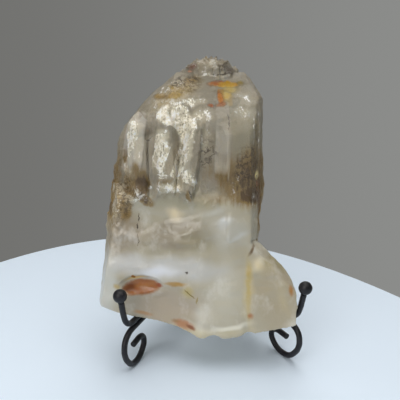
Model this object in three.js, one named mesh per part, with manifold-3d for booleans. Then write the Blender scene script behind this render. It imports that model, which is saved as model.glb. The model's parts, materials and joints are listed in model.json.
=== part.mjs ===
// A large smoky quartz crystal of the elestial kind, resting on a small stand of bent black rods.
// Millimetres, +Z up. The front faces -Y. The origin is under the middle of the whole object.
//
// The crystal is one grown piece. Its ribs are hexagonal crystals in parallel growth, so all their
// faces point in the same six directions, and its lower end is a curved fracture.
// The stand is two mirrored sides joined by two crossbars. Each side is a support rod with a ball
// tip, welded on top of a leg rod that ends in a scroll.

import * as THREE from 'three';
import { ConvexGeometry } from 'three/addons/geometries/ConvexGeometry.js';
import { mergeVertices } from 'three/addons/utils/BufferGeometryUtils.js';
import Module from 'manifold-3d';

const { degToRad } = THREE.MathUtils;
const wasm = await Module();
wasm.setup();

// ---- driving dimensions: the stand ----

const rodRadius = 1.5;
const ballRadius = 3.4;
const contactGap = 0.3;           // clearance between pieces that touch
const footWear = 0.2;             // how far each rod is worn flat where it meets the table
const sideSpacing = 40.6;         // from the middle to the front foot of each side
const sideSplay = 25.4;           // degrees that each side opens outwards, towards the front
const frontFootY = -26;
const legHeight = 19.8;           // the leg rod's upper run, above its lowest point
const shelfHeight = legHeight + 2 * rodRadius + contactGap;
const uprightTop = 74;
const upperBarHeight = 62;
const rearFootReach = 66;         // behind the front foot, along each side
const lowerBarReach = 57;
const lowerBarHeight = 17.4;      // on the bend where the leg rod turns down to its rear foot
const ballPlace = [9.7, 42.2];    // ahead of the front foot and above the rod's lowest point

// ---- driving dimensions: the crystal ----

const crystalLean = 8;            // degrees that the crystal leans back on the uprights
const crystalSetting = [-3.2, -5];
const endFacePitch = 38.2;        // quartz end faces tip this far above the horizontal
const backReach = 22;             // from the crystal's axis to its flat back
const stumpTop = 90;              // the grown faces are whole above this height
const restSlopes = { left: 15, right: 14.5 };    // the two faces that sit on the rods

// ---- helpers: directions, convex shapes and booleans ----

// An outward direction: turn is measured from the front (-Y) towards +X, pitch from the horizontal.
function direction(turn, pitch = 0) {
  const level = Math.cos(degToRad(pitch));
  return new THREE.Vector3(
    Math.sin(degToRad(turn)) * level,
    -Math.cos(degToRad(turn)) * level,
    Math.sin(degToRad(pitch)),
  );
}

// A flat face through a point, facing outwards in the given direction.
function face(turn, pitch, x, y, z) {
  const point = new THREE.Vector3(x, y, z);
  return new THREE.Plane().setFromNormalAndCoplanarPoint(direction(turn, pitch), point);
}

// The corner where three faces meet, or null where they don't meet in one point.
function corner(a, b, c) {
  const bc = new THREE.Vector3().crossVectors(b.normal, c.normal);
  const ca = new THREE.Vector3().crossVectors(c.normal, a.normal);
  const ab = new THREE.Vector3().crossVectors(a.normal, b.normal);
  const volume = a.normal.dot(bc);
  if (Math.abs(volume) < 1e-6) return null;
  return bc.multiplyScalar(-a.constant)
    .addScaledVector(ca, -b.constant)
    .addScaledVector(ab, -c.constant)
    .divideScalar(volume);
}

// The closed shape that lies behind all the given faces.
function shapeBehind(faces) {
  const corners = [];
  for (let i = 0; i < faces.length; i += 1) {
    for (let j = i + 1; j < faces.length; j += 1) {
      for (let k = j + 1; k < faces.length; k += 1) {
        const point = corner(faces[i], faces[j], faces[k]);
        const inside = point && faces.every((plane) => plane.distanceToPoint(point) < 1e-6);
        const known = point && corners.some((other) => other.distanceTo(point) < 1e-4);
        if (inside && !known) corners.push(point);
      }
    }
  }
  return new ConvexGeometry(corners);
}

function toSolid(geometry) {
  const bare = geometry.clone();
  bare.deleteAttribute('normal');
  bare.deleteAttribute('uv');
  const merged = mergeVertices(bare, 1e-4);
  return new wasm.Manifold(new wasm.Mesh({
    numProp: 3,
    vertProperties: new Float32Array(merged.attributes.position.array),
    triVerts: new Uint32Array(merged.index.array),
  }));
}

function toGeometry(solid) {
  const mesh = solid.getMesh();
  const geometry = new THREE.BufferGeometry();
  geometry.setAttribute('position', new THREE.BufferAttribute(mesh.vertProperties, 3));
  geometry.setIndex(new THREE.BufferAttribute(mesh.triVerts, 1));
  geometry.computeVertexNormals();
  return geometry;
}

function joined(shapes) {
  return shapes.map(toSolid).reduce((whole, piece) => whole.add(piece));
}

function withCuts(solid, shapes) {
  return shapes.map(toSolid).reduce((whole, piece) => whole.subtract(piece), solid);
}

// A source of repeatable random numbers between two limits.
function randomSource(seed) {
  let state = seed;
  return (low, high) => {
    state = (state * 1664525 + 1013904223) % 4294967296;
    return low + (high - low) * (state / 4294967296);
  };
}

// ---- helpers: shapes that crystals are made of ----

// Every crystal here has its prism faces at these turns, each below a sloping end face.
const prismTurns = [0, 60, 120, 180, 240, 300];

// A hexagonal crystal around an upright axis: how far each prism face is from the axis, the
// height where each one meets its end face, and the height of the foot.
function quartz({ reach, shoulders, foot }) {
  const faces = [face(0, -90, 0, 0, foot)];
  prismTurns.forEach((turn, i) => {
    const out = direction(turn).multiplyScalar(reach[i]);
    faces.push(face(turn, 0, out.x, out.y, 0));
    faces.push(face(turn, endFacePitch, out.x, out.y, shoulders[i]));
  });
  return shapeBehind(faces);
}

// A rib on the front: a crystal whose front face runs from left to right. It may lean sideways.
function rib({ left, right, front, shoulder, foot, sideLean = 0 }) {
  const reach = (right - left) / 2 / Math.tan(degToRad(30));
  const shape = quartz({
    reach: [reach, reach, reach, reach + 6, reach, reach],
    shoulders: [shoulder, shoulder, shoulder + 4, shoulder + 4, shoulder + 4, shoulder],
    foot,
  });
  const middle = (shoulder + foot) / 2;
  shape.translate(0, 0, -middle);
  shape.rotateY(degToRad(sideLean));
  shape.translate((left + right) / 2, front + reach, middle);
  return shape;
}

// A small crystal point with a blunt foot, tipped away from upright.
function smallPoint({ at, radius, height, tipX = 0, tipY = 0 }) {
  const shape = quartz({
    reach: prismTurns.map(() => radius),
    shoulders: prismTurns.map(() => height - radius * 1.2),
    foot: -height,
  });
  shape.rotateX(degToRad(tipY));
  shape.rotateY(degToRad(tipX));
  shape.translate(...at);
  return shape;
}

// A smooth hollow or lump, as an ellipsoid with its middle and half sizes.
function ellipsoid({ at, half, turn = 0, roll = 0, detail = 7 }) {
  const shape = new THREE.IcosahedronGeometry(1, detail);
  shape.scale(...half);
  shape.rotateY(degToRad(roll));
  shape.rotateZ(degToRad(turn));
  shape.translate(...at);
  return shape;
}

// ---- how the crystal sits on the stand ----

const floorDepth = rodRadius - footWear;   // the table, below the middle of a foot's rod
const crystalPose = new THREE.Matrix4()
  .makeTranslation(...crystalSetting, 0)
  .multiply(new THREE.Matrix4().makeRotationX(-degToRad(crystalLean)));

// A sloping face under the crystal that lies along one shelf rod, in the crystal's own frame.
function restingFace(side, slope) {
  const outward = direction(side * (sideSplay + 90), slope - 90);
  const onRod = new THREE.Vector3(side * sideSpacing, frontFootY, floorDepth + shelfHeight);
  onRod.addScaledVector(outward, -rodRadius - contactGap);
  const plane = new THREE.Plane().setFromNormalAndCoplanarPoint(outward, onRod);
  return plane.applyMatrix4(crystalPose.clone().invert());
}

// How far behind the front foot an upright runs, so that it follows the crystal's leaning back.
function uprightReachAt(height) {
  const lean = degToRad(crystalLean);
  const backY = (backReach + rodRadius + contactGap + (height + floorDepth) * Math.sin(lean))
    / Math.cos(lean);
  return (crystalSetting[1] + backY - frontFootY) / Math.cos(degToRad(sideSplay));
}

// ---- the crystal ----

// The trunk: the main crystal, and lower ones that step out from its left and back.
function trunk() {
  return [
    quartz({
      reach: [20, 33.8, 22.2, backReach, 33.4, 37.7],
      shoulders: [127.5, 131.5, 143, 108.5, 119, 113],
      foot: 50,
    }),
    quartz({
      reach: [18, 30, 20, 20, 36.2, 39.2],
      shoulders: [100, 100, 100, 100, 103, 98],
      foot: 50,
    }),
    quartz({
      reach: [19, 30, 20, 21, 38.2, 41],
      shoulders: [86, 86, 86, 86, 87, 80],
      foot: 50,
    }),
    quartz({
      reach: [5, 28, 24.4, 20.6, 5, 5],
      shoulders: [96, 110, 104, 92, 96, 96],
      foot: 40,
    }),
  ];
}

// The front: one broad crystal on the right, a flat one beside it and three ribs on the left.
function frontRibs() {
  return [
    quartz({
      reach: [31, 34.7, 14, 5, 4, 6],
      shoulders: [114.5, 130, 124, 116, 116, 122],
      foot: 62,
    }),
    rib({ left: -6, right: 12, front: -25.2, shoulder: 120, foot: 70 }),
    rib({ left: -9.5, right: -4.5, front: -28.5, shoulder: 119, foot: 74, sideLean: 10 }),
    rib({ left: -21.5, right: -15, front: -27, shoulder: 120, foot: 74 }),
    rib({ left: -33.5, right: -28, front: -24.5, shoulder: 118, foot: 74 }),
    rib({ left: -26, right: -23.5, front: -22.5, shoulder: 112, foot: 74 }),
  ];
}

// The broken lower end. Its two lowest faces sit on the rods.
function stump() {
  return shapeBehind([
    restingFace(-1, restSlopes.left),
    restingFace(1, restSlopes.right),
    face(0, -86, 0, -28, 13.4),
    face(-8, 2, 0, -28.5, 60),
    face(-8, 50, 0, -28.5, 82),
    face(-78, 10.5, -49.5, -5, 62),
    face(-90, -68, -50, -25, 29.5),
    face(58, 0, 19.3, -31.2, 0),
    face(85, -6, 30.5, -12, 88),
    face(120, 0, 24, 5, 0),
    face(180, 0, 0, backReach, 0),
    face(180, -40, 0, 20, 45),
    face(240, 0, -42, 5, 0),
    face(0, 90, 0, 0, stumpTop),
  ]);
}

// The smaller crystal that has grown against the lower right side, and the toe at its foot.
function wedge() {
  const common = [
    face(-9, 2, 45, -36, 35),
    face(-35, 0, 21.2, -32.2, 0),
    face(-90, 0, 16, 0, 0),
    face(180, 0, 0, 0, 0),
    face(0, -89, 25, -33, 16.2),
    restingFace(1, restSlopes.right),
  ];
  const body = shapeBehind([
    ...common,
    face(51, 40, 33.4, -33.7, 47.5),
    face(95, 45, 33, -28, 54.2),
    face(100, 22, 42.2, -30, 44),
    face(96, -1, 43.4, -33, 38),
  ]);
  const toe = shapeBehind([
    ...common,
    face(80, 38, 43.2, -33, 34),
    face(104, 19, 44.9, -36.5, 28.7),
    face(108, -38, 44.4, -36.5, 28.7),
  ]);
  return [body, toe];
}

// The rough cap along the top edge: a rounded lump with small crystal points all over it.
function cap() {
  const middle = [6.3, -3, 143];
  const half = [14, 7, 9.2];
  const random = randomSource(7);
  const pieces = [ellipsoid({ at: middle, half, detail: 5 })];
  for (let i = 0; i < 52; i += 1) {
    const turn = random(0, 360);
    const spread = Math.sqrt(random(0, 0.92));
    const x = spread * Math.sin(degToRad(turn));
    const y = spread * Math.cos(degToRad(turn));
    const surface = middle[2] + half[2] * Math.sqrt(1 - x ** 2 - y ** 2);
    pieces.push(smallPoint({
      at: [middle[0] + half[0] * x, middle[1] + half[1] * y, surface - 3],
      radius: random(1.1, 2),
      height: random(3.4, 4.4),
      tipX: random(-14, 14),
      tipY: random(-14, 14),
    }));
  }
  return pieces;
}

// Small crystals that roughen the left edge, further out the lower they are.
function etchedEdge() {
  const random = randomSource(23);
  const points = [];
  for (let i = 0; i < 24; i += 1) {
    const height = 64 + i * 2;
    const y = random(-16, 2);
    const edgeX = -48.5 + (height - 64) * 0.19 + Math.max(0, -y - 5) * 0.5;
    points.push(smallPoint({
      at: [edgeX + random(1, 2.4), y, height],
      radius: random(1.3, 2.4),
      height: random(4, 8),
      tipX: random(-6, 3),
      tipY: random(-6, 6),
    }));
  }
  return points;
}

// Curved hollows left where pieces broke away: under the ribs, under the ledge at the lower left,
// a lens at that ledge's rim, and two bites in the bottom edge.
function fractures() {
  return [
    ellipsoid({ at: [-23, -35, 75], half: [30, 14, 16.5], turn: -8, roll: -3 }),
    ellipsoid({ at: [-24.5, -38.5, 22], half: [28, 18, 29], turn: -8 }),
    ellipsoid({ at: [-31, -26, 40.5], half: [12, 5, 5.6], turn: -10, roll: 2, detail: 5 }),
    ellipsoid({ at: [3, -31, 11], half: [5, 9, 4.6], detail: 4 }),
    ellipsoid({ at: [-14, -30, 11], half: [8, 9, 7], detail: 4 }),
    rightTaper(),
  ];
}

// The right side narrows towards the fracture, so what lies outside this face is gone.
function rightTaper() {
  return shapeBehind([
    face(265, 9, 32.8, -12, 90),
    face(90, 0, 70, 0, 0),
    face(0, 0, 0, -60, 0),
    face(180, 0, 0, 60, 0),
    face(0, 90, 0, 0, 90),
    face(0, -90, 0, 0, 40),
  ]);
}

function crystalGeometry() {
  const grown = joined([...trunk(), ...frontRibs(), ...cap(), ...etchedEdge(), stump()]);
  const broken = withCuts(grown, fractures());
  return toGeometry(broken.add(joined(wedge())));
}

// ---- the stand ----

// A round rod along a path given as [reach ahead, height]. Its ten sides include level ones.
function rodGeometry(points, steps) {
  const path = new THREE.CatmullRomCurve3(
    points.map(([ahead, height]) => new THREE.Vector3(0, -ahead, height)),
  );
  const section = new THREE.Shape().absarc(0, 0, rodRadius, 0, Math.PI * 2);
  return new THREE.ExtrudeGeometry(section, { steps, curveSegments: 5, extrudePath: path });
}

// The leg rod, from the rear foot, under the shelf, to the scroll at the front foot.
function legGeometry() {
  const rear = -rearFootReach;
  const rod = rodGeometry([
    [rear - 8, 0], [rear - 5, 0], [rear - 2, 0], [rear + 2.5, 2.5], [rear + 5, 9],
    [rear + 7.5, 15.5], [rear + 11, 18.8], [rear + 16, legHeight], [rear + 19, legHeight],
    [-9, legHeight], [-6, legHeight], [-3, legHeight], [2, 19.1],
    [5.9, 16.6], [7.3, 12.6], [6.6, 8.4], [3.8, 4.2], [-0.2, 1], [-4.6, 0], [-9.2, 0.6],
    [-13, 2.9], [-15, 6.2], [-13.6, 9.6], [-10, 11], [-6.4, 10.9], [-2.4, 10.6],
  ], 60);
  const table = new THREE.BoxGeometry(40, 200, 10).translate(0, 0, -floorDepth - 5);
  return toGeometry(withCuts(toSolid(rod), [table]));
}

// The support rod: the post under the ball, the shelf and the upright behind.
function supportGeometry() {
  const upright = [8, 14, 30, uprightTop - shelfHeight]
    .map((rise) => [-uprightReachAt(shelfHeight + rise), shelfHeight + rise]);
  const heel = -uprightReachAt(shelfHeight);
  return rodGeometry([
    [8.8, 38.6], [7.9, 35], [6.6, 30.4], [4.4, 26.2], [0.8, 23.8], [-4, shelfHeight],
    [-8, shelfHeight], [heel + 10, shelfHeight], [heel + 6, shelfHeight],
    [heel + 1.4, shelfHeight + 2], ...upright,
  ], 44);
}

// A crossbar welded between the two sides, at a reach behind the front feet. Each end stops short
// of the middle of the rod that it meets.
function crossbar(name, reach, height, shortOfRod) {
  const splay = degToRad(sideSplay);
  const half = sideSpacing - reach * Math.sin(splay) - shortOfRod;
  const geometry = new THREE.CylinderGeometry(rodRadius, rodRadius, half * 2, 10);
  geometry.rotateZ(Math.PI / 2);
  const bar = new THREE.Mesh(geometry, rodBlack());
  bar.name = name;
  bar.position.set(0, frontFootY + reach * Math.cos(splay), floorDepth + height);
  return bar;
}

// One side of the stand.
function standSide(name, side) {
  const frame = new THREE.Group();
  frame.position.set(side * sideSpacing, frontFootY, floorDepth);
  frame.rotation.z = degToRad(side * sideSplay);
  const leg = new THREE.Mesh(legGeometry(), rodBlack());
  leg.name = `${name}_leg_rod`;
  const support = new THREE.Mesh(supportGeometry(), rodBlack());
  support.name = `${name}_support_rod`;
  const ball = new THREE.Mesh(new THREE.SphereGeometry(ballRadius, 14, 9), rodBlack());
  ball.name = `${name}_ball_tip`;
  ball.position.set(0, -ballPlace[0], ballPlace[1]);
  frame.add(leg, support, ball);
  return frame;
}

function rodBlack() {
  return new THREE.MeshStandardMaterial({ color: 0x17171a, roughness: 0.45, metalness: 0.6 });
}

// ---- the whole object ----

const smokyQuartz = new THREE.MeshStandardMaterial({
  color: 0xc9c0ab,
  roughness: 0.2,
  metalness: 0,
});
const crystal = new THREE.Mesh(crystalGeometry(), smokyQuartz);
crystal.name = 'crystal';
crystal.applyMatrix4(crystalPose);

const object = new THREE.Group();
object.add(crystal, standSide('left', -1), standSide('right', 1));
const shortOfUpright = rodRadius + contactGap;
const splay = degToRad(sideSplay);
const shortOfLeg = shortOfUpright / Math.cos(splay) + rodRadius * Math.tan(splay);
object.add(crossbar('lower_crossbar', lowerBarReach, lowerBarHeight, shortOfLeg));
object.add(crossbar(
  'upper_crossbar', uprightReachAt(upperBarHeight), upperBarHeight, shortOfUpright,
));

// The origin is moved to the middle of the whole object, at table height.
const extent = new THREE.Box3().setFromObject(object, true);
const middle = extent.getCenter(new THREE.Vector3());
object.position.set(-middle.x, -middle.y, -extent.min.z);

export default object;
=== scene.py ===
import json
import math
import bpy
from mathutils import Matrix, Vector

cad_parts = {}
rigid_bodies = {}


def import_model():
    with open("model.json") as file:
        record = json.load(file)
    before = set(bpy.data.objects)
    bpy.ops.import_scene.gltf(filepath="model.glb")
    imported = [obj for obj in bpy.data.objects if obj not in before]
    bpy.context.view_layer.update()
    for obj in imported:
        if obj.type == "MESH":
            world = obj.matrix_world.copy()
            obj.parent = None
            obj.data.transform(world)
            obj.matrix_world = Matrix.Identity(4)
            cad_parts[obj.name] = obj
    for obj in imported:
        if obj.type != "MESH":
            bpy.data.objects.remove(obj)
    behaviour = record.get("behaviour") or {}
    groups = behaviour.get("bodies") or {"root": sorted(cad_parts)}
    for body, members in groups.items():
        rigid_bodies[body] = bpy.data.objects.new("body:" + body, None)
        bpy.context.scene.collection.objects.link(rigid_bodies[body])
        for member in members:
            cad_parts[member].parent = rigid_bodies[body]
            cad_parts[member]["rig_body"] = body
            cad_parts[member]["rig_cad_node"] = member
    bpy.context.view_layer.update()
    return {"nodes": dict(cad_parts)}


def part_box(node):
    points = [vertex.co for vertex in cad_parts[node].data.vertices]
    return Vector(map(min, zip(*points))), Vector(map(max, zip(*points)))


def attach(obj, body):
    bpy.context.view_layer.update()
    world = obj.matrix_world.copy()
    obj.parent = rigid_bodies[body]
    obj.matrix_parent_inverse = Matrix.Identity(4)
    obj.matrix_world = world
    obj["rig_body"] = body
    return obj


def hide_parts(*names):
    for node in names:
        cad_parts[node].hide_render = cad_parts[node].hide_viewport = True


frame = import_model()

from types import SimpleNamespace

import bpy
from mathutils import Matrix, Vector

print("frame loaded:", ", ".join(sorted(frame["nodes"])))

mm = 0.001    # one millimetre in the scene's metres

crystalPlace = {
    "leftOfStand": 3.2,    # in mm, from the middle of the two ball tips
    "behindStand": 29.75,
    "lean": 8,    # degrees, backwards
}


def middle(node):
    low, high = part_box(node)
    return (low + high) / 2


# the crystal has a frame of its own, behind the middle of the two ball tips and leaning back
standMiddle = (middle("left_ball_tip") + middle("right_ball_tip")) / 2
crystalOrigin = Vector((standMiddle.x - crystalPlace["leftOfStand"] * mm,
                        standMiddle.y + crystalPlace["behindStand"] * mm, 0))
crystalLean = math.radians(crystalPlace["lean"])


class Socket:    # one output of a node, so that shader maths reads as Python
    def __init__(self, tree, output=None):
        self.tree = tree
        self.output = output

    def node(self, kind, settings=None, values=None, output=0):    # settings first, then sockets
        made = self.tree.nodes.new(kind)
        for name, value in (settings or {}).items():
            if name == "stops":
                self.fillRamp(made.color_ramp, value)
            else:
                setattr(made, name, value)
        for name, value in (values or {}).items():
            if isinstance(value, Socket):
                self.tree.links.new(value.output, made.inputs[name])
            else:
                made.inputs[name].default_value = value
        return Socket(self.tree, made.outputs[output])

    def fillRamp(self, colourRamp, stops):
        while len(colourRamp.elements) < len(stops):
            colourRamp.elements.new(0.5)
        for element, (place, colour) in zip(colourRamp.elements, stops):
            element.position = place
            element.color = colour

    def maths(self, operation, first, second=0.0):
        return self.node("ShaderNodeMath", {"operation": operation}, {0: first, 1: second})

    def vectors(self, operation, second, output=0):
        return self.node("ShaderNodeVectorMath", {"operation": operation}, {0: self, 1: second}, output)

    def __add__(self, other):
        return self.maths("ADD", self, other)

    __radd__ = __add__

    def __sub__(self, other):
        return self.maths("SUBTRACT", self, other)

    def __rsub__(self, other):
        return self.maths("SUBTRACT", other, self)

    def __mul__(self, other):
        return self.maths("MULTIPLY", self, other)

    __rmul__ = __mul__

    def larger(self, other):
        return self.maths("MAXIMUM", self, other)

    def between(self, low, high, start=0.0, end=1.0):    # a soft step while the value goes from low to high
        return self.node("ShaderNodeMapRange", {"interpolation_type": "SMOOTHSTEP"},
                         {"Value": self, "From Min": low, "From Max": high, "To Min": start, "To Max": end})

    def blend(self, factor, first, second):    # from the first colour to the second, by their socket numbers
        return self.node("ShaderNodeMix", {"data_type": "RGBA"}, {0: factor, 6: first, 7: second}, 2)

    def mixed(self, other, factor):    # this colour, towards the other by the factor
        return self.blend(factor, self, other)

    def noise(self, size, detail, rough=0.55, stretch=(1, 1, 1)):    # lumps about size across
        scaled = self.vectors("DIVIDE", tuple(size * part for part in stretch))
        return scaled.node("ShaderNodeTexNoise", {}, {"Vector": scaled, "Scale": 1.0, "Detail": detail,
                                                      "Roughness": rough})

    def pushed(self, amount, size, detail=2.0):    # this position, moved about by noise
        lumps = self.vectors("DIVIDE", (size, size, size))
        push = lumps.node("ShaderNodeTexNoise", {}, {"Vector": lumps, "Scale": 1.0, "Detail": detail},
                          "Color")
        centred = push.vectors("SUBTRACT", (0.5, 0.5, 0.5)).vectors("MULTIPLY", (amount, amount, amount))
        return self.vectors("ADD", centred)

    def inside(self, centre, reach, turn):    # this position seen from a place, turned about Y
        return self.node("ShaderNodeMapping", {"vector_type": "TEXTURE"},
                         {"Vector": self, "Location": centre, "Rotation": (0, math.radians(turn), 0),
                          "Scale": reach})

    def patch(self, centre, reach, turn, soft):    # 1 inside an ellipsoid, 0 outside
        return self.node("ShaderNodeTexGradient", {"gradient_type": "SPHERICAL"},
                         {"Vector": self.inside(centre, reach, turn)}, "Fac").between(0.0, soft)

    def pane(self, centre, reach, turn, soft):    # 1 inside a box with rounded corners, 0 outside
        power = self.inside(centre, reach, turn)
        for _ in range(3):    # squared three times, so each coordinate is to the eighth power
            power = power.vectors("MULTIPLY", power)
        return power.vectors("DOT_PRODUCT", (1, 1, 1), "Value").between(1.0, (1.0 - soft) ** 8)

    def lines(self, size, width):    # thin winding lines
        middling = self.noise(size, 3.0, 0.6) - 0.5
        return middling.maths("ABSOLUTE", middling).between(width, width * 0.3)


def largest(masks):    # the highest of many masks at each point
    whole = None
    for mask in masks:
        whole = whole.larger(mask) if whole else mask
    return whole


def painted(ground, layers, gain, mask):    # lays each layer's colour over the ground, where its mask is
    for *where, colour, strength in layers:
        ground = ground.mixed(tone(colour, gain), mask(*where) * strength)
    return ground


def tone(code, gain):    # a colour from its hex code, in linear light, times the gain
    parts = [int(code[at:at + 2], 16) / 255 for at in (0, 2, 4)]
    linear = [part / 12.92 if part <= 0.04045 else ((part + 0.055) / 1.055) ** 2.4 for part in parts]
    return (*(min(1.0, part * more) for part, more in zip(linear, gain)), 1)


def newMaterial(name):
    material = bpy.data.materials.new(name)
    material.use_nodes = True
    material.node_tree.nodes.clear()
    return material, Socket(material.node_tree)


def toOutput(surface, volume=None):
    end = surface.tree.nodes.new("ShaderNodeOutputMaterial")
    surface.tree.links.new(surface.output, end.inputs["Surface"])
    if volume:
        surface.tree.links.new(volume.output, end.inputs["Volume"])


def paint(piece, material):
    piece.data.materials.clear()
    piece.data.materials.append(material)


def deselectAll():
    if bpy.context.object and bpy.context.object.mode != "OBJECT":
        bpy.ops.object.mode_set(mode="OBJECT")
    bpy.ops.object.select_all(action="DESELECT")


def pick(piece):
    deselectAll()
    piece.select_set(True)
    bpy.context.view_layer.objects.active = piece


def applyAll(piece):
    pick(piece)
    for modifier in list(piece.modifiers):
        bpy.ops.object.modifier_apply(modifier=modifier.name)


def selectFaces(piece, wanted):    # leaves the piece in edit mode with exactly these faces selected
    pick(piece)
    bpy.ops.object.mode_set(mode="EDIT")
    bpy.ops.mesh.select_mode(type="FACE")
    bpy.ops.mesh.select_all(action="DESELECT")
    bpy.ops.object.mode_set(mode="OBJECT")
    for face in piece.data.polygons:
        face.select = wanted(face)
    bpy.ops.object.mode_set(mode="EDIT")


def triangles(piece):
    return sum(len(face.vertices) - 2 for face in piece.data.polygons)


def settle(piece, node, smoothAngle):    # the last step for every piece
    pick(piece)
    bpy.ops.object.transform_apply(location=True, rotation=True, scale=True)
    bpy.ops.object.shade_smooth_by_angle(angle=math.radians(smoothAngle))
    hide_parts(node)
    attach(piece, "root")
    print(piece.name + ":", triangles(piece), "triangles")


crystalBody = {
    "mergeDistance": 0.00001,    # in metres
    "remeshDepth": 8,
    "remeshScale": 0.79,
    "facetAngle": 24,    # degrees: sharper edges stay sharp
    "softeningFactor": 0.5,
    "softeningSteps": 60,
    # each relief: texture kind, its settings, stretch along the crystal's X, Y and Z, and height, in mm
    "reliefs": {
        "swell": ("CLOUDS", {"noise_depth": 1}, (16, 16, 22), 1.6),
        "crumble": ("CLOUDS", {"noise_depth": 3}, (5, 5, 6), 2.4),
        "flutes": ("CLOUDS", {"noise_depth": 2}, (3.2, 3.2, 24), 1.3),
        "steps": ("CLOUDS", {"noise_depth": 2, "noise_basis": "CELL_NOISE"}, (14, 14, 1.6), 0.35),
        "etching": ("VORONOI", {}, (2.1, 2.1, 3.4), 1.0),
        "ripples": ("CLOUDS", {"noise_depth": 1}, (11, 11, 5), 1.1),
        "grains": ("VORONOI", {}, (1.15, 1.15, 1.15), 0.63),
    },
    # how much each of these zones is smoothed
    "softness": {"foot": 0.22, "shoulders": 0.25, "ledge": 1.0, "hollow": 0.8, "seam": 1.0, "slope": 1.0},
    # how much each of these zones is etched
    "etched": {"leftEdge": 1.0, "rightEdge": 0.8, "ribTops": 0.8, "hem": 1.0},
    "growthSteps": 0.8,
    "plainAtRods": 0.85,    # how much relief is taken off where the rods are close
    # zones in mm in the crystal's frame: each row is an axis, where the zone starts and where it is full
    "zones": {
        "cap": [("z", 139.5, 142), ("x", -8.7, -6.7), ("x", 21.3, 19.3), ("y", -12, -10.5), ("y", 6, 4.5)],
        "slope": [("z", 106, 112), ("z", 138, 134), ("y", -11, -14), ("x", -28, -22), ("x", 26, 22)],
        "shoulders": [("z", 108, 116), ("z", 142, 139)],
        "crumbled": [("z", 108, 120), ("x", 22, 12), ("y", -6, -14)],
        "ribTops": [("z", 110, 118), ("z", 134, 126), ("y", -6, -14), ("x", -8, -14)],
        "grown": [("z", 80, 92)],
        "columns": [("z", 80, 92), ("z", 134, 122)],
        "leftEdge": [("x", -34, -40), ("z", 56, 66), ("z", 122, 110)],
        "rightEdge": [("x", 21, 25), ("z", 58, 64), ("z", 134, 126)],
        "hem": [("z", 80, 84), ("z", 96, 89), ("y", -6, -14), ("x", 8, 2)],
        "ledge": [("x", -8, 0), ("z", 72, 76), ("z", 96, 92), ("y", -14, -18)],
        "hollow": [("z", 53, 58), ("z", 83, 78), ("x", 0, -6), ("y", -14, -18)],
        "seam": [("x", 16, 18.5), ("x", 24, 21.5), ("z", 58, 50), ("y", -20, -26)],
        "foot": [("z", 88, 78)],
        "milky": [("z", 84, 74)],
        "leftRod": [("z", 34, 26), ("x", -8, -16)],
        "rightRod": [("z", 34, 26), ("x", 8, 16)],
    },
}


def inCrystalFrame(point):    # a point of the scene, in mm in the crystal's own leaning frame
    return Matrix.Rotation(crystalLean, 3, "X") @ (point - crystalOrigin) / mm


def zone(point, name):    # 1 in the zone, 0 outside it, with straight ramps between
    weight = 1.0
    for axis, start, full in crystalBody["zones"][name]:
        weight *= min(1.0, max(0.0, (getattr(point, axis) - start) / (full - start)))
    return weight


def strongest(point, strengths):    # the highest of several zones, each times its strength
    return max(strength * zone(point, name) for name, strength in strengths.items())


def reliefWeights(point):    # how strongly each relief shows at a point of the crystal
    cap = zone(point, "cap")
    free = 1 - crystalBody["plainAtRods"] * max(zone(point, "leftRod"), zone(point, "rightRod"))
    return {
        "soften": strongest(point, crystalBody["softness"]),
        "swell": free * (1 - cap),
        "crumble": zone(point, "crumbled") * (1 - cap),
        "flutes": zone(point, "columns") * (1 - cap),
        "steps": zone(point, "grown") * (1 - cap) * crystalBody["growthSteps"],
        "etching": strongest(point, crystalBody["etched"]) * free,
        "ripples": zone(point, "milky") * free,
        "grains": cap,
    }


def makeCrystal():    # the CAD solid's mesh, merged, remeshed and given its low relief
    deselectAll()
    source = frame["nodes"]["crystal"]
    piece = source.copy()
    piece.data = source.data.copy()
    piece.name = "quartzCrystal"
    piece.parent = None
    for key in ("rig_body", "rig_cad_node"):    # the copy isn't a CAD node
        if key in piece:
            del piece[key]
    bpy.context.scene.collection.objects.link(piece)
    pick(piece)
    bpy.ops.object.mode_set(mode="EDIT")
    bpy.ops.mesh.select_all(action="SELECT")
    bpy.ops.mesh.remove_doubles(threshold=crystalBody["mergeDistance"])
    bpy.ops.object.mode_set(mode="OBJECT")
    modifier = piece.modifiers.new("remesh", "REMESH")
    modifier.mode = "SHARP"
    modifier.octree_depth = crystalBody["remeshDepth"]
    modifier.scale = crystalBody["remeshScale"]
    modifier.use_remove_disconnected = True
    applyAll(piece)
    roughen(piece)
    settle(piece, "crystal", crystalBody["facetAngle"])
    return piece


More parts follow.
